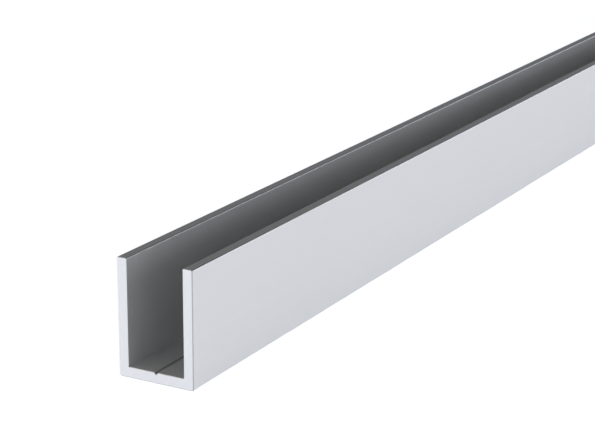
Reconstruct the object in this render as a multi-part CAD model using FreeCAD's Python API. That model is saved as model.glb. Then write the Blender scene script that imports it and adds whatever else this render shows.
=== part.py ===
"""One length of extruded aluminium glazing channel, lying on its web with the open side up.

The channel is a single piece: a flat web, two equal parallel flanges and a small V groove that
runs along the middle of the web inside, which a drill point finds when the channel is screwed
down. It is drawn as its cross section, extruded to the stock length, and the burr is then
broken all round each sawn end.

Frame: X across the slot, Y along the length, Z up. The origin is on the underside of the web,
in the middle of the width and of the length. Sizes are in millimetres and angles in degrees.
"""

import FreeCAD
import Part

import math
import os

# The section
OUTER_WIDTH = 21.0
FLANGE_HEIGHT = 30.0
FLANGE_THICKNESS = 2.7
WEB_THICKNESS = 2.8

# The corners of the section
HEEL_RADIUS = 0.5
ROOT_RADIUS = 0.3
TIP_RADIUS = 0.3

# The drill groove, whose sides run down at the groove angle to a rounded bottom
GROOVE_WIDTH = 0.9
GROOVE_ANGLE = 90.0
GROOVE_LIP_RADIUS = 0.25
GROOVE_BOTTOM_RADIUS = 0.1

# The length as sold, and the burr broken off the edges of the two sawn ends
STOCK_LENGTH = 1000.0
END_BREAK = 0.2


def slot_half_width():
    """From the middle of the slot to the inside of a flange."""
    return OUTER_WIDTH / 2 - FLANGE_THICKNESS


def groove_depth():
    """From the top of the web to where the groove's two sides would meet."""
    return GROOVE_WIDTH / 2 / math.tan(math.radians(GROOVE_ANGLE / 2))


def half_section():
    """The section's corners for X above zero, from the underside up and round to the groove.

    Each corner is (x, z, radius), where the two straight sides would meet.
    """
    outside = OUTER_WIDTH / 2
    inside = slot_half_width()
    return [
        (outside, 0.0, HEEL_RADIUS),
        (outside, FLANGE_HEIGHT, TIP_RADIUS),
        (inside, FLANGE_HEIGHT, TIP_RADIUS),
        (inside, WEB_THICKNESS, ROOT_RADIUS),
        (GROOVE_WIDTH / 2, WEB_THICKNESS, GROOVE_LIP_RADIUS),
    ]


def section_corners():
    """All of the section's corners in order: the right half, the groove's bottom, the left half."""
    right = half_section()
    bottom = (0.0, WEB_THICKNESS - groove_depth(), GROOVE_BOTTOM_RADIUS)
    left = [(-x, z, radius) for x, z, radius in reversed(right)]
    return right + [bottom] + left


def rounded_corner(before, corner, after):
    """The arc that rounds one corner: its start, middle and end points, in the plane Y = 0."""
    x, z, radius = corner
    point = FreeCAD.Vector(x, 0, z)
    back = (FreeCAD.Vector(before[0], 0, before[1]) - point).normalize()
    ahead = (FreeCAD.Vector(after[0], 0, after[1]) - point).normalize()
    half_angle = back.getAngle(ahead) / 2
    towards_centre = (back + ahead).normalize()
    tangent_length = radius / math.tan(half_angle)
    middle_depth = radius / math.sin(half_angle) - radius
    return (
        point + back * tangent_length,
        point + towards_centre * middle_depth,
        point + ahead * tangent_length,
    )


def section_wire():
    """The closed outline of the section: straight sides joined by tangent arcs."""
    corners = section_corners()
    count = len(corners)
    arcs = [
        rounded_corner(corners[i - 1], corners[i], corners[(i + 1) % count])
        for i in range(count)
    ]
    edges = []
    for i, (start, middle, end) in enumerate(arcs):
        edges.append(Part.Arc(start, middle, end).toShape())
        next_start = arcs[(i + 1) % count][0]
        edges.append(Part.LineSegment(end, next_start).toShape())
    return Part.Wire(edges)


def sawn_end_edges(bar):
    """The edges that lie wholly in one of the two sawn ends."""
    end_y = STOCK_LENGTH / 2
    tolerance = 1e-6
    return [
        edge
        for edge in bar.Edges
        if all(abs(abs(vertex.Y) - end_y) < tolerance for vertex in edge.Vertexes)
        and edge.BoundBox.YLength < tolerance
    ]


def channel():
    """The section extruded to the stock length, with both sawn ends deburred."""
    section = Part.Face(section_wire())
    section.translate(FreeCAD.Vector(0, -STOCK_LENGTH / 2, 0))
    bar = section.extrude(FreeCAD.Vector(0, STOCK_LENGTH, 0))
    return bar.makeChamfer(END_BREAK, sawn_end_edges(bar))


def export(name, shape):
    """Writes one closed solid as parts/name.step."""
    if shape.ShapeType == "Compound" and len(shape.Solids) == 1:
        shape = shape.Solids[0]
    if not shape.isValid() or shape.ShapeType != "Solid":
        raise ValueError(name + " is not one valid solid")
    os.makedirs("parts", exist_ok=True)
    shape.exportStep("parts/" + name + ".step")


export("channel", channel())
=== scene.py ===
"""A length of anodised aluminium glazing channel on a plain pale studio floor.

The channel is drawn flat as its cross section, extruded to its length and broken at its two sawn
ends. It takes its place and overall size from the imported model. Everything is in metres.
"""

import math

import bpy
from bpy.props import FloatProperty, FloatVectorProperty, PointerProperty
from bpy.types import Operator, Panel, PropertyGroup
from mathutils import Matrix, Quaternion, Vector


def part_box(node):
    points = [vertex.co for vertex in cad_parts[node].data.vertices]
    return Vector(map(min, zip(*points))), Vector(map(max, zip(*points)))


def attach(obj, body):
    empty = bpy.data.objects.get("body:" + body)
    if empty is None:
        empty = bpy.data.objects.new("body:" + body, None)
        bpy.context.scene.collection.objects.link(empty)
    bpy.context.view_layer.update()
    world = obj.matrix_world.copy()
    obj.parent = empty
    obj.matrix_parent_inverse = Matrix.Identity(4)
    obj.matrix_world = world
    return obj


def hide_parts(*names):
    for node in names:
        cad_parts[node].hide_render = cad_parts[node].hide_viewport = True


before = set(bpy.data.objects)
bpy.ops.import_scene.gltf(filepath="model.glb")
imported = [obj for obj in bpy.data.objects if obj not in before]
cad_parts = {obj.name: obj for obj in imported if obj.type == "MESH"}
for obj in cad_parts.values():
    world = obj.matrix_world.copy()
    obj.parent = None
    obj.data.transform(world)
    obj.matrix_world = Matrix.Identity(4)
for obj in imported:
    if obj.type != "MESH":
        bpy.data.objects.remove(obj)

bl_info = {
    "name": "Glazing channel",
    "version": (1, 0, 0),
    "blender": (4, 5, 0),
    "location": "View3D > Sidebar > Channel",
    "description": "Models one length of aluminium glazing channel and the studio it lies in",
    "category": "Object",
}

NODE = "channel"
BODY = "root"

LOW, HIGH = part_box(NODE)
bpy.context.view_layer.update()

# How near two sizes have to be to count as the same place on the section
SAME_PLACE = 1e-6

# How far the floor lies below the channel, so that the two faces don't show through each other
FLOOR_GAP = 0.00002

# How many flats each kind of rounding is made of
HEEL_FLATS = 10
TIP_FLATS = 8
ROOT_FLATS = 8
GROOVE_FLATS = 5
END_BREAK_FLATS = 4

# Edges sharper than this stay sharp when the piece is shaded smooth
SHARP_ANGLE = math.radians(35.0)

# The piece's material slots. The groove's slot holds painted shade, and the right-hand broken
# edges' slot a painted dark reflection
ANODISED, CORNER, GROOVE, SAWN, BROKEN, DARK_REFLECTION_EDGE = range(6)

# The share of a face's normal along one axis that counts as all of it, as some and as none
ALL_OF_IT = 0.999
SOME_OF_IT = 0.1
NONE_OF_IT = 0.001

# How far in from the channel's right side the broken edges get a darker colour, painted as their
# dark reflection
DARK_REFLECTION_REACH = 0.001

# Where the saw's spindle stood, as X and Z, which is the centre of the arcs on both ends
SAW_CENTRE = (0.11, -0.09)

# How far apart a wave texture draws its rings at a scale of 1
RING_SPACING = math.pi / 10

# The middle of a noise or wave pattern's range, which is stretched to the whole range wanted
MIDDLE_RANGE = (0.3, 0.7)

# Where the lamps point, which is in the slot near the channel's near end
LAMP_AIM = Vector((0.0, LOW.y + 0.1, HIGH.z / 2))

# The width of the camera's sensor in millimetres
SENSOR_WIDTH = 36.0


class ChannelSizes(PropertyGroup):
    """The section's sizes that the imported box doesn't give."""

    flange_thickness: FloatProperty(
        name="Flange thickness", description="Wall of each of the two flanges",
        default=0.0027, min=0.0005, unit="LENGTH",
    )
    web_thickness: FloatProperty(
        name="Web thickness", description="Wall of the web between the flanges",
        default=0.0028, min=0.0005, unit="LENGTH",
    )
    heel_radius: FloatProperty(
        name="Heel radius", description="Rounding of the two outer corners under the web",
        default=0.0005, min=0.00005, unit="LENGTH",
    )
    tip_radius: FloatProperty(
        name="Tip radius", description="Rounding of the corners on top of the flanges",
        default=0.0003, min=0.00005, unit="LENGTH",
    )
    root_radius: FloatProperty(
        name="Root radius", description="Rounding of the corners at the bottom of the slot",
        default=0.0003, min=0.00005, unit="LENGTH",
    )
    groove_width: FloatProperty(
        name="Groove width", description="Width of the drill groove at the top of the web",
        default=0.0009, min=0.0001, unit="LENGTH",
    )
    groove_angle: FloatProperty(
        name="Groove angle", description="Angle between the two sides of the drill groove",
        default=math.radians(90.0), subtype="ANGLE",
    )
    groove_lip_radius: FloatProperty(
        name="Groove lip radius", description="Rounding of the two upper edges of the groove",
        default=0.00025, min=0.00005, unit="LENGTH",
    )
    groove_bottom_radius: FloatProperty(
        name="Groove bottom radius", description="Rounding along the bottom of the groove",
        default=0.0001, min=0.00002, unit="LENGTH",
    )
    end_break: FloatProperty(
        name="End break", description="Burr broken off the edges of the two sawn ends",
        default=0.0002, min=0.00002, unit="LENGTH",
    )


class ChannelFinish(PropertyGroup):
    """The colours and gloss of the aluminium."""

    anodised_colour: FloatVectorProperty(
        name="Anodised colour", description="Colour of the extruded and anodised faces",
        subtype="COLOR", size=3, default=(0.804, 0.821, 0.836), min=0.0, max=1.0,
    )
    anodised_roughness: FloatProperty(
        name="Anodised roughness", description="Roughness of the anodised faces",
        default=0.58, min=0.0, max=1.0, subtype="FACTOR",
    )
    corner_roughness: FloatProperty(
        name="Corner roughness", description="Roughness of the rounded heels and flange tips",
        default=0.26, min=0.0, max=1.0, subtype="FACTOR",
    )
    anodic_haze: FloatProperty(
        name="Anodic haze", description="Share of the light that the etched skin scatters",
        default=0.06, min=0.0, max=1.0, subtype="FACTOR",
    )
    # Painted shade: the groove's colour is darker to stand in for the shade in the recess
    groove_shade_colour: FloatVectorProperty(
        name="Groove colour", description="Colour of the dull film left in the drill groove",
        subtype="COLOR", size=3, default=(0.50, 0.51, 0.52), min=0.0, max=1.0,
    )
    sawn_colour: FloatVectorProperty(
        name="Sawn colour", description="Colour of the two sawn ends",
        subtype="COLOR", size=3, default=(0.790, 0.817, 0.845), min=0.0, max=1.0,
    )
    sawn_roughness: FloatProperty(
        name="Sawn roughness", description="Roughness of the two sawn ends",
        default=0.36, min=0.0, max=1.0, subtype="FACTOR",
    )
    # Painted reflection: the right-hand broken edges are darker to stand in for the dark
    # surroundings they mirror
    dark_reflection_colour: FloatVectorProperty(
        name="Torn edge colour", description="Colour of the edges where the saw came out",
        subtype="COLOR", size=3, default=(0.42, 0.43, 0.45), min=0.0, max=1.0,
    )


def deselect_everything():
    """Leaves object mode with nothing selected."""
    if bpy.context.object and bpy.context.object.mode != "OBJECT":
        bpy.ops.object.mode_set(mode="OBJECT")
    bpy.ops.object.select_all(action="DESELECT")


def select_by(piece, kind, test):
    """Selects the vertices, edges or faces of a piece in edit mode whose places pass a test."""
    bpy.ops.object.mode_set(mode="OBJECT")
    mesh = piece.data
    for part in (*mesh.vertices, *mesh.edges, *mesh.polygons):
        part.select = False
    places = [vertex.co for vertex in mesh.vertices]
    if kind == "VERT":
        for vertex in mesh.vertices:
            vertex.select = test(vertex.co)
    elif kind == "EDGE":
        for edge in mesh.edges:
            edge.select = all(test(places[i]) for i in edge.vertices)
    else:
        for face in mesh.polygons:
            face.select = test(face)
    bpy.ops.object.mode_set(mode="EDIT")
    bpy.ops.mesh.select_mode(type=kind)


def cut_across(piece, x):
    """Cuts the flat section by the upright plane at x."""
    bpy.ops.mesh.select_all(action="SELECT")
    bpy.ops.mesh.bisect(plane_co=(x, 0.0, 0.0), plane_no=(1.0, 0.0, 0.0))


def round_corners(piece, places, tangent_length, flats):
    """Rounds the section's corners at these (x, z) places, from this far along their sides."""
    def stands_there(point):
        return any(
            abs(point.x - x) < SAME_PLACE and abs(point.z - z) < SAME_PLACE for x, z in places
        )

    select_by(piece, "VERT", stands_there)
    bpy.ops.mesh.bevel(
        offset_type="OFFSET", offset=tangent_length, segments=flats, profile=0.5,
        affect="VERTICES", clamp_overlap=False,
    )


def draw_section(sizes):
    """The section as one flat face at the near end, with its corners rounded."""
    half_width = (HIGH.x - LOW.x) / 2
    height = HIGH.z - LOW.z
    inside = half_width - sizes.flange_thickness
    half_groove = sizes.groove_width / 2
    groove_depth = half_groove / math.tan(sizes.groove_angle / 2)
    web = sizes.web_thickness
    start = LOW.y + sizes.end_break

    # The web, as a flat plate that stands on edge
    bpy.ops.mesh.primitive_plane_add(
        size=1.0, location=(0.0, start, web / 2), rotation=(math.pi / 2, 0.0, 0.0)
    )
    piece = bpy.context.object
    piece.scale = (2 * half_width, web, 1.0)
    bpy.ops.object.transform_apply(location=True, rotation=True, scale=True)
    bpy.ops.object.mode_set(mode="EDIT")
    for x in (-inside, -half_groove, 0.0, half_groove, inside):
        cut_across(piece, x)

    # The flanges, drawn up from the web's two outer stretches
    for side in (-1, 1):
        select_by(
            piece, "EDGE",
            lambda point: point.z > web - SAME_PLACE and side * point.x > inside - SAME_PLACE,
        )
        bpy.ops.mesh.extrude_region_move(
            TRANSFORM_OT_translate={"value": (0.0, 0.0, height - web)}
        )

    # The drill groove
    select_by(
        piece, "VERT",
        lambda point: abs(point.x) < SAME_PLACE and abs(point.z - web) < SAME_PLACE,
    )
    bpy.ops.transform.translate(value=(0.0, 0.0, -groove_depth))

    # One face, with no point left along its two straight outer sides and its underside
    bpy.ops.mesh.select_all(action="SELECT")
    bpy.ops.mesh.dissolve_faces()
    select_by(
        piece, "VERT",
        lambda point: (point.z < SAME_PLACE and abs(point.x) < half_width - SAME_PLACE)
        or (abs(point.z - web) < SAME_PLACE and abs(point.x) > half_width - SAME_PLACE),
    )
    bpy.ops.mesh.dissolve_verts()

    lip_turn = (math.pi - sizes.groove_angle) / 2
    bottom_turn = math.pi - sizes.groove_angle
    heels = [(-half_width, 0.0), (half_width, 0.0)]
    tips = [(side * x, height) for side in (-1, 1) for x in (inside, half_width)]
    roots = [(-inside, web), (inside, web)]
    lips = [(-half_groove, web), (half_groove, web)]
    bottom = [(0.0, web - groove_depth)]
    lip_length = sizes.groove_lip_radius * math.tan(lip_turn / 2)
    bottom_length = sizes.groove_bottom_radius * math.tan(bottom_turn / 2)
    round_corners(piece, heels, sizes.heel_radius, HEEL_FLATS)
    round_corners(piece, tips, sizes.tip_radius, TIP_FLATS)
    round_corners(piece, roots, sizes.root_radius, ROOT_FLATS)
    round_corners(piece, lips, lip_length, GROOVE_FLATS)
    round_corners(piece, bottom, bottom_length, GROOVE_FLATS)
    return piece


def break_end(piece, facing, size, steps):
    """Insets and raises one sawn end in short steps, which rounds off all its edges."""
    select_by(piece, "FACE", lambda face: face.normal.y * facing > ALL_OF_IT)
    for step in range(steps):
        before = math.pi / 2 * step / steps
        after = math.pi / 2 * (step + 1) / steps
        bpy.ops.mesh.inset(
            thickness=size * (math.cos(before) - math.cos(after)),
            depth=size * (math.sin(after) - math.sin(before)),
            use_even_offset=True,
        )


class OBJECT_OT_channel(Operator):
    """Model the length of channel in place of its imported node"""

    bl_idname = "object.glazing_channel"
    bl_label = "Channel"

    def execute(self, context):
        sizes = context.scene.channel_sizes
        deselect_everything()
        piece = draw_section(sizes)
        piece.name = piece.data.name = "channel_length"

        bpy.ops.mesh.select_all(action="SELECT")
        bpy.ops.mesh.extrude_region_move(
            TRANSFORM_OT_translate={"value": (0.0, HIGH.y - LOW.y - 2 * sizes.end_break, 0.0)}
        )
        bpy.ops.mesh.select_all(action="SELECT")
        bpy.ops.mesh.normals_make_consistent(inside=False)
        for facing in (-1, 1):
            break_end(piece, facing, sizes.end_break, END_BREAK_FLATS)
        bpy.ops.object.mode_set(mode="OBJECT")

        bpy.ops.object.shade_smooth_by_angle(angle=SHARP_ANGLE)
        flat = piece.modifiers.new("even_faces", "WEIGHTED_NORMAL")
        flat.keep_sharp = True
        bpy.ops.object.modifier_apply(modifier=flat.name)

        finish = context.scene.channel_finish
        finishes = (
            anodised_face, burnished_corner, painted_groove_shade, sawn_end, broken_edge, edge_painted_dark_reflection
        )
        for material in finishes:
            piece.data.materials.append(material(finish))
        for face in piece.data.polygons:
            face.material_index = finish_of(face, sizes)

        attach(piece, BODY)
        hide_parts(NODE)
        return {"FINISHED"}


def finish_of(face, sizes):
    """Which finish a face has.

    The die leaves the outer corners smoother than the flats. The groove gets a darker colour as
    painted shade, and the broken edges at the right a darker colour as a painted dark reflection.
    """
    normal, centre = face.normal, face.center
    if abs(normal.y) > ALL_OF_IT:
        return SAWN
    # The groove's faces get a darker colour, which is painted shade
    in_groove = abs(centre.x) < sizes.groove_width / 2
    web_top = LOW.z + sizes.web_thickness
    if in_groove and LOW.z + SAME_PLACE < centre.z < web_top - SAME_PLACE:
        return GROOVE
    if abs(normal.y) < NONE_OF_IT:
        curved = max(abs(normal.x), abs(normal.z)) < ALL_OF_IT
        at_heel = centre.z < LOW.z + sizes.heel_radius
        at_tip = centre.z > HIGH.z - sizes.tip_radius
        return CORNER if curved and (at_heel or at_tip) else ANODISED
    # Broken edges at the right get a darker colour, which is a painted dark reflection
    if normal.x > SOME_OF_IT and centre.x > HIGH.x - DARK_REFLECTION_REACH:
        return DARK_REFLECTION_EDGE
    return BROKEN


class Metal:
    """A new metal, whose colour, roughness and relief are built up from patterns."""

    def __init__(self, name, haze=0.0):
        self.material = bpy.data.materials.new(name)
        self.material.use_nodes = True
        self.nodes = self.material.node_tree.nodes
        self.links = self.material.node_tree.links
        self.shader = self.nodes["Principled BSDF"]
        self.shader.inputs["Metallic"].default_value = 1.0 - haze
        self.place = self.nodes.new("ShaderNodeTexCoord").outputs["Object"]
        self.relief = None

    def mapped(self, shift=(0.0, 0.0, 0.0), scale=(1.0, 1.0, 1.0)):
        """The object coordinates, scaled and moved."""
        mapping = self.nodes.new("ShaderNodeMapping")
        mapping.inputs["Location"].default_value = shift
        mapping.inputs["Scale"].default_value = scale
        self.links.new(self.place, mapping.inputs["Vector"])
        return mapping.outputs["Vector"]

    def noise(self, size, lengthwise=1.0, detail=2.0):
        """Soft noise whose spots are this size across, and this many times longer along Y."""
        noise = self.nodes.new("ShaderNodeTexNoise")
        noise.inputs["Scale"].default_value = 1.0 / size
        noise.inputs["Detail"].default_value = detail
        vector = self.mapped(scale=(1.0, 1.0 / lengthwise, 1.0))
        self.links.new(vector, noise.inputs["Vector"])
        return noise.outputs["Fac"]

    def arcs(self, spacing, centre, distortion):
        """Lines this far apart in arcs round a centre, which is given as X and Z."""
        wave = self.nodes.new("ShaderNodeTexWave")
        wave.wave_type = "RINGS"
        wave.rings_direction = "Y"
        wave.inputs["Scale"].default_value = RING_SPACING / spacing
        wave.inputs["Distortion"].default_value = distortion
        wave.inputs["Detail"].default_value = 1.0
        wave.inputs["Detail Scale"].default_value = 0.3
        from_centre = self.mapped(shift=(-centre[0], 0.0, -centre[1]))
        self.links.new(from_centre, wave.inputs["Vector"])
        return wave.outputs["Fac"]

    def blend(self, first, second, share):
        """Two patterns mixed, with this share of the second."""
        mix = self.nodes.new("ShaderNodeMix")
        mix.inputs["Factor"].default_value = share
        self.links.new(first, mix.inputs["A"])
        self.links.new(second, mix.inputs["B"])
        return mix.outputs["Result"]

    def spread(self, pattern, low, high):
        """A pattern whose middle range is stretched to run from low to high."""
        spread = self.nodes.new("ShaderNodeMapRange")
        spread.inputs["From Min"].default_value = MIDDLE_RANGE[0]
        spread.inputs["From Max"].default_value = MIDDLE_RANGE[1]
        spread.inputs["To Min"].default_value = low
        spread.inputs["To Max"].default_value = high
        self.links.new(pattern, spread.inputs["Value"])
        return spread.outputs["Result"]

    def colour(self, colour, pattern, change):
        """The colour, which the pattern makes darker and lighter by this share."""
        mix = self.nodes.new("ShaderNodeMix")
        mix.data_type = "RGBA"
        dark, light = mix.inputs[6], mix.inputs[7]
        dark.default_value = (*(value * (1.0 - change) for value in colour), 1.0)
        light.default_value = (*(value * (1.0 + change) for value in colour), 1.0)
        self.links.new(self.spread(pattern, 0.0, 1.0), mix.inputs["Factor"])
        self.links.new(mix.outputs[2], self.shader.inputs["Base Color"])

    def roughness(self, roughness, pattern, change):
        """The roughness, which the pattern lowers and raises by this much."""
        value = self.spread(pattern, roughness - change, roughness + change)
        self.links.new(value, self.shader.inputs["Roughness"])

    def raise_by(self, pattern, height):
        """Relief of this height in metres, on top of the relief so far."""
        bump = self.nodes.new("ShaderNodeBump")
        bump.inputs["Strength"].default_value = 1.0
        bump.inputs["Distance"].default_value = height
        self.links.new(pattern, bump.inputs["Height"])
        if self.relief:
            self.links.new(self.relief, bump.inputs["Normal"])
        self.relief = bump.outputs["Normal"]
        self.links.new(self.relief, self.shader.inputs["Normal"])


def anodised_face(finish):
    """Faint lines drawn along the length by the die, under an even, fine-grained etch."""
    metal = Metal("anodised_face", finish.anodic_haze)
    die_lines = metal.noise(size=0.18e-3, lengthwise=250.0, detail=3.0)
    streaks = metal.noise(size=1.6e-3, lengthwise=400.0)
    clouds = metal.noise(size=35e-3, lengthwise=3.0, detail=3.0)
    grain = metal.noise(size=0.07e-3)
    bands = metal.blend(streaks, clouds, share=0.5)
    lined_bands = metal.blend(bands, die_lines, share=0.35)
    grainy_bands = metal.blend(bands, grain, share=0.4)
    metal.colour(finish.anodised_colour, lined_bands, change=0.015)
    metal.roughness(finish.anodised_roughness, grainy_bands, change=0.03)
    metal.raise_by(die_lines, height=2.5e-6)
    metal.raise_by(grain, height=1.0e-6)
    return metal.material


def burnished_corner(finish):
    """The rounded corners, which leave the die smoother than the flats and so show a fine line."""
    metal = Metal("burnished_corner", finish.anodic_haze)
    drag_lines = metal.noise(size=0.06e-3, lengthwise=300.0)
    rubs = metal.noise(size=6e-3, lengthwise=6.0, detail=3.0)
    lined_rubs = metal.blend(rubs, drag_lines, share=0.4)
    metal.colour(finish.anodised_colour, lined_rubs, change=0.02)
    metal.roughness(finish.corner_roughness, rubs, change=0.05)
    metal.raise_by(drag_lines, height=1.0e-6)
    return metal.material


def painted_groove_shade(finish):
    """The narrow groove, with a darker grey painted in as its shade, and faint drag lines."""
    metal = Metal("painted_groove_shade", finish.anodic_haze)
    drag_lines = metal.noise(size=0.08e-3, lengthwise=200.0)
    patches = metal.noise(size=4e-3, lengthwise=4.0, detail=3.0)
    lined_patches = metal.blend(patches, drag_lines, share=0.4)
    metal.colour(finish.groove_shade_colour, lined_patches, change=0.08)
    metal.roughness(finish.anodised_roughness, patches, change=0.05)
    metal.raise_by(drag_lines, height=3e-6)
    return metal.material


def sawn_end(finish):
    """Bare metal with the fine arcs of a circular saw."""
    metal = Metal("sawn_end")
    teeth = metal.arcs(spacing=0.35e-3, centre=SAW_CENTRE, distortion=2.0)
    wobble = metal.arcs(spacing=2.1e-3, centre=SAW_CENTRE, distortion=4.0)
    smear = metal.noise(size=1.2e-3, detail=3.0)
    grain = metal.noise(size=0.06e-3)
    marks = metal.blend(metal.blend(teeth, wobble, share=0.35), smear, share=0.4)
    grainy_marks = metal.blend(marks, grain, share=0.4)
    metal.colour(finish.sawn_colour, marks, change=0.02)
    metal.roughness(finish.sawn_roughness, grainy_marks, change=0.05)
    metal.raise_by(teeth, height=2.0e-6)
    metal.raise_by(wobble, height=2.5e-6)
    metal.raise_by(grain, height=1.0e-6)
    return metal.material


def broken_edge(finish):
    """The narrow bevel that a file or a deburring blade leaves."""
    metal = Metal("broken_edge")
    strokes = metal.noise(size=0.12e-3, detail=3.0)
    nicks = metal.noise(size=0.8e-3)
    nicked_strokes = metal.blend(strokes, nicks, share=0.5)
    metal.colour(finish.sawn_colour, nicked_strokes, change=0.03)
    metal.roughness(finish.sawn_roughness, nicks, change=0.06)
    metal.raise_by(strokes, height=3e-6)
    return metal.material


def edge_painted_dark_reflection(finish):
    """The right-hand broken edges, rougher, with a darker colour painted as the dark reflection
    they show.
    """
    metal = Metal("edge_painted_dark_reflection")
    edge_specks = metal.noise(size=0.15e-3, detail=3.0)
    nicks = metal.noise(size=0.9e-3)
    nicked_edge_specks = metal.blend(edge_specks, nicks, share=0.5)
    metal.colour(finish.dark_reflection_colour, nicked_edge_specks, change=0.12)
    metal.roughness(finish.sawn_roughness, nicks, change=0.08)
    metal.raise_by(edge_specks, height=6e-6)
    metal.raise_by(nicks, height=4e-6)
    return metal.material


class StudioSettings(PropertyGroup):
    """The camera, the floor and the light."""

    camera_azimuth: FloatProperty(
        name="Camera azimuth", description="Turn of the camera from the end of the channel",
        default=math.radians(29.13), subtype="ANGLE",
    )
    camera_elevation: FloatProperty(
        name="Camera elevation", description="Height of the camera above the horizon",
        default=math.radians(16.63), subtype="ANGLE",
    )
    camera_roll: FloatProperty(
        name="Camera roll", description="Turn of the camera about its own axis",
        default=math.radians(0.26), subtype="ANGLE",
    )
    camera_aim: FloatVectorProperty(
        name="Camera aim", description="Point that the camera looks at, from the near right edge",
        subtype="TRANSLATION", size=3, default=(0.0, 0.0496, 0.0311),
    )
    camera_distance: FloatProperty(
        name="Camera distance", description="From the camera to the point it looks at",
        default=0.46667, unit="LENGTH",
    )
    camera_lens: FloatProperty(
        name="Camera lens", description="Focal length on a 36 mm sensor, in millimetres",
        default=112.06,
    )
    floor_reach: FloatProperty(
        name="Floor reach", description="From the middle to each side of the square floor",
        default=30.0, unit="LENGTH",
    )
    floor_colour: FloatVectorProperty(
        name="Floor colour", description="Colour that the floor scatters the lamps' light with",
        subtype="COLOR", size=3, default=(0.85, 0.85, 0.85), min=0.0, max=1.0,
    )
    floor_glow: FloatProperty(
        name="Floor glow", description="White added to the floor where it is seen or mirrored",
        default=0.872, min=0.0, max=1.0,
    )
    glow_colour: FloatVectorProperty(
        name="Glow colour", description="Slightly cool colour of the white added to the floor",
        subtype="COLOR", size=3, default=(0.935, 0.947, 1.0), min=0.0, max=1.0,
    )
    white_distance: FloatProperty(
        name="White distance", description="From the middle to where the floor is plain white",
        default=2.0, min=0.1, unit="LENGTH",
    )
    contact_shade: FloatProperty(
        name="Contact shade", description="How much the mirrored floor darkens under an object",
        default=0.35, min=0.0, max=1.0, subtype="FACTOR",
    )
    contact_reach: FloatProperty(
        name="Contact reach", description="How near an object has to be to darken the floor",
        default=0.15, min=0.0, unit="LENGTH",
    )
    surround_grey: FloatProperty(
        name="Surround grey", description="Brightness of the dark studio round the floor",
        default=0.04, min=0.0, max=1.0,
    )
    warm_light: FloatVectorProperty(
        name="Warm light", description="Colour of the three softboxes in front and at the right",
        subtype="COLOR", size=3, default=(1.0, 0.93, 0.86), min=0.0, max=1.0,
    )
    cool_light: FloatVectorProperty(
        name="Cool light", description="Colour of the two lamps behind the channel",
        subtype="COLOR", size=3, default=(0.87, 0.92, 1.0), min=0.0, max=1.0,
    )
    key_brightness: FloatProperty(
        name="Key brightness", description="Brightness of the softbox high at the front left",
        default=1.0, min=0.0,
    )
    front_brightness: FloatProperty(
        name="Front brightness", description="Brightness of the wide low softbox at the front left",
        default=1.09, min=0.0,
    )
    side_brightness: FloatProperty(
        name="Side brightness", description="Brightness of the wide softbox low at the right",
        default=0.94, min=0.0,
    )
    edge_brightness: FloatProperty(
        name="Edge brightness", description="Brightness of the light behind that draws the edges",
        default=1.42, min=0.0,
    )
    back_brightness: FloatProperty(
        name="Back brightness", description="Brightness of the dim panel low behind the channel",
        default=0.16, min=0.0,
    )


class SCENE_OT_channel_studio(Operator):
    """Make the floor, the lamps, the surroundings and the camera"""

    bl_idname = "scene.channel_studio"
    bl_label = "Studio"

    def execute(self, context):
        deselect_everything()
        studio = context.scene.channel_studio
        lay_floor(studio)
        hang_softbox(
            "key_softbox", size=(1.7, 1.4), bearing=233.0, elevation=56.0, distance=2.4,
            brightness=studio.key_brightness, colour=studio.warm_light,
        )
        hang_softbox(
            "front_softbox", size=(3.4, 1.3), bearing=225.0, elevation=16.0, distance=2.6,
            brightness=studio.front_brightness, colour=studio.warm_light,
        )
        hang_softbox(
            "side_softbox", size=(3.0, 1.5), bearing=104.0, elevation=17.0, distance=2.4,
            brightness=studio.side_brightness, colour=studio.warm_light,
        )
        hang_softbox(
            "edge_light", size=(2.4, 0.6), bearing=28.0, elevation=8.0, distance=2.4,
            brightness=studio.edge_brightness, colour=studio.cool_light,
        )
        hang_softbox(
            "back_softbox", size=(2.4, 1.4), bearing=330.0, elevation=22.0, distance=2.5,
            brightness=studio.back_brightness, colour=studio.cool_light,
        )
        darken_surroundings(context.scene, studio)
        place_camera(context.scene, studio)
        return {"FINISHED"}


def lay_floor(studio):
    """A pale floor that shows white to the camera and in the metal, and keeps the shadow."""
    bpy.ops.mesh.primitive_plane_add(
        size=2 * studio.floor_reach, location=(0.0, 0.0, LOW.z - FLOOR_GAP)
    )
    floor = bpy.context.object
    floor.name = "floor"
    floor.data.materials.append(pale_floor(studio))


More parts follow.
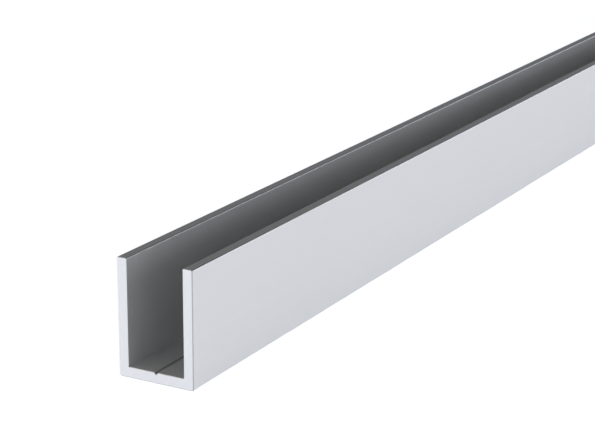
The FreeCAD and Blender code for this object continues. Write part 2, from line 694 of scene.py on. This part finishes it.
def pale_floor(studio):
    """Matt grey, with as much white added as the lamps leave it short of plain white.

    The white is added for the camera and for what is seen in metal or through glass. In metal
    and through glass there is less of it close to an object, which is the object's own shade.
    """
    material = bpy.data.materials.new("pale_floor")
    material.use_nodes = True
    nodes, links = material.node_tree.nodes, material.node_tree.links
    shader = nodes["Principled BSDF"]
    shader.inputs["Base Color"].default_value = (*studio.floor_colour, 1.0)
    shader.inputs["Roughness"].default_value = 1.0
    shader.inputs["Specular IOR Level"].default_value = 0.0

    def calculate(operation, *values):
        """One arithmetic node, whose inputs are sockets or plain numbers."""
        node = nodes.new("ShaderNodeMath")
        node.operation = operation
        for socket, value in zip(node.inputs, values):
            if isinstance(value, bpy.types.NodeSocket):
                links.new(value, socket)
            else:
                socket.default_value = value
        return node.outputs["Value"]

    # The lamps light only the floor round the channel. From half the white distance outwards it
    # turns plain white by itself, for the camera alone.
    spot = nodes.new("ShaderNodeVectorMath")
    spot.operation = "LENGTH"
    links.new(nodes.new("ShaderNodeTexCoord").outputs["Object"], spot.inputs[0])
    far = nodes.new("ShaderNodeMapRange")
    far.interpolation_type = "SMOOTHSTEP"
    far.inputs["From Min"].default_value = studio.white_distance / 2
    far.inputs["From Max"].default_value = studio.white_distance
    links.new(spot.outputs["Value"], far.inputs["Value"])
    path = nodes.new("ShaderNodeLightPath").outputs
    bleached = calculate("MULTIPLY", path["Is Camera Ray"], far.outputs["Result"])

    tint = nodes.new("ShaderNodeMix")
    tint.data_type = "RGBA"
    near_colour, far_colour = tint.inputs[6], tint.inputs[7]
    near_colour.default_value = (*studio.glow_colour, 1.0)
    far_colour.default_value = (1.0, 1.0, 1.0, 1.0)
    links.new(bleached, tint.inputs["Factor"])
    links.new(tint.outputs[2], shader.inputs["Emission Color"])

    openness = nodes.new("ShaderNodeAmbientOcclusion")
    openness.samples = 8
    openness.inputs["Distance"].default_value = studio.contact_reach
    kept = calculate(
        "MULTIPLY_ADD", openness.outputs["AO"], studio.contact_shade, 1 - studio.contact_shade
    )
    mirrored = calculate("MAXIMUM", path["Is Glossy Ray"], path["Is Transmission Ray"])
    shown = calculate("MAXIMUM", path["Is Camera Ray"], calculate("MULTIPLY", mirrored, kept))
    glow = calculate("MULTIPLY", shown, studio.floor_glow)
    whitened = calculate("MULTIPLY_ADD", bleached, 1 - studio.floor_glow, glow)
    links.new(whitened, shader.inputs["Emission Strength"])
    return material


def hang_softbox(name, size, bearing, elevation, distance, brightness, colour):
    """Hangs a softbox that faces the channel's near stretch.

    The size is width and height, and the bearing is clockwise from the far end. Lengths are in
    metres and angles in degrees. The power grows with the area, so that a softbox of any size
    looks as bright as its brightness says.
    """
    width, height = size
    bearing, elevation = math.radians(bearing), math.radians(elevation)
    away = Vector(
        (
            math.cos(elevation) * math.sin(bearing),
            math.cos(elevation) * math.cos(bearing),
            math.sin(elevation),
        )
    )
    bpy.ops.object.light_add(
        type="AREA",
        location=LAMP_AIM + distance * away,
        rotation=away.to_track_quat("Z", "Y").to_euler(),
    )
    softbox = bpy.context.object
    softbox.name = softbox.data.name = name
    softbox.data.shape = "RECTANGLE"
    softbox.data.size = width
    softbox.data.size_y = height
    softbox.data.energy = math.pi * width * height * brightness
    softbox.data.color = colour
    softbox.visible_camera = False


def darken_surroundings(scene, studio):
    """A dark grey studio above the floor, which the metal shows where it mirrors no lamp."""
    world = bpy.data.worlds.new("surroundings")
    world.use_nodes = True
    grey = studio.surround_grey
    background = world.node_tree.nodes["Background"]
    background.inputs["Color"].default_value = (grey, grey, grey, 1.0)
    scene.world = world


def place_camera(scene, studio):
    """Stands the camera at the right of the near end, and sets how colours are shown."""
    data = bpy.data.cameras.new("camera")
    data.sensor_width = SENSOR_WIDTH
    data.lens = studio.camera_lens
    data.clip_start = 0.01
    data.clip_end = 100.0
    camera = bpy.data.objects.new("camera", data)
    scene.collection.objects.link(camera)
    turn, lift = studio.camera_azimuth, studio.camera_elevation
    back = Vector(
        (math.sin(turn) * math.cos(lift), -math.cos(turn) * math.cos(lift), math.sin(lift))
    )
    aim = Vector((HIGH.x, LOW.y, LOW.z)) + Vector(studio.camera_aim)
    camera.location = aim + back * studio.camera_distance
    facing = (-back).to_track_quat("-Z", "Y")
    camera.rotation_mode = "QUATERNION"
    camera.rotation_quaternion = Quaternion(back, studio.camera_roll) @ facing
    scene.camera = camera
    scene.view_settings.view_transform = "Standard"


class VIEW3D_PT_channel(Panel):
    """Sidebar panel with the channel's and the studio's settings"""

    bl_label = "Glazing channel"
    bl_idname = "VIEW3D_PT_glazing_channel"
    bl_space_type = "VIEW_3D"
    bl_region_type = "UI"
    bl_category = "Channel"

    def draw(self, context):
        layout = self.layout
        scene = context.scene
        for group in (scene.channel_sizes, scene.channel_finish, scene.channel_studio):
            box = layout.box()
            for name in group.bl_rna.properties.keys():
                if name not in ("rna_type", "name"):
                    box.prop(group, name)
        layout.operator(OBJECT_OT_channel.bl_idname)
        layout.operator(SCENE_OT_channel_studio.bl_idname)


CLASSES = (
    ChannelSizes,
    ChannelFinish,
    StudioSettings,
    OBJECT_OT_channel,
    SCENE_OT_channel_studio,
    VIEW3D_PT_channel,
)


def register():
    """Adds the settings, the operators and the panel."""
    for cls in CLASSES:
        bpy.utils.register_class(cls)
    bpy.types.Scene.channel_sizes = PointerProperty(type=ChannelSizes)
    bpy.types.Scene.channel_finish = PointerProperty(type=ChannelFinish)
    bpy.types.Scene.channel_studio = PointerProperty(type=StudioSettings)


def unregister():
    """Takes away all that register added."""
    del bpy.types.Scene.channel_studio
    del bpy.types.Scene.channel_finish
    del bpy.types.Scene.channel_sizes
    for cls in reversed(CLASSES):
        bpy.utils.unregister_class(cls)


def main():
    """Makes the channel and its studio."""
    register()
    bpy.ops.object.glazing_channel()
    bpy.ops.scene.channel_studio()


if __name__ == "__main__":
    main()
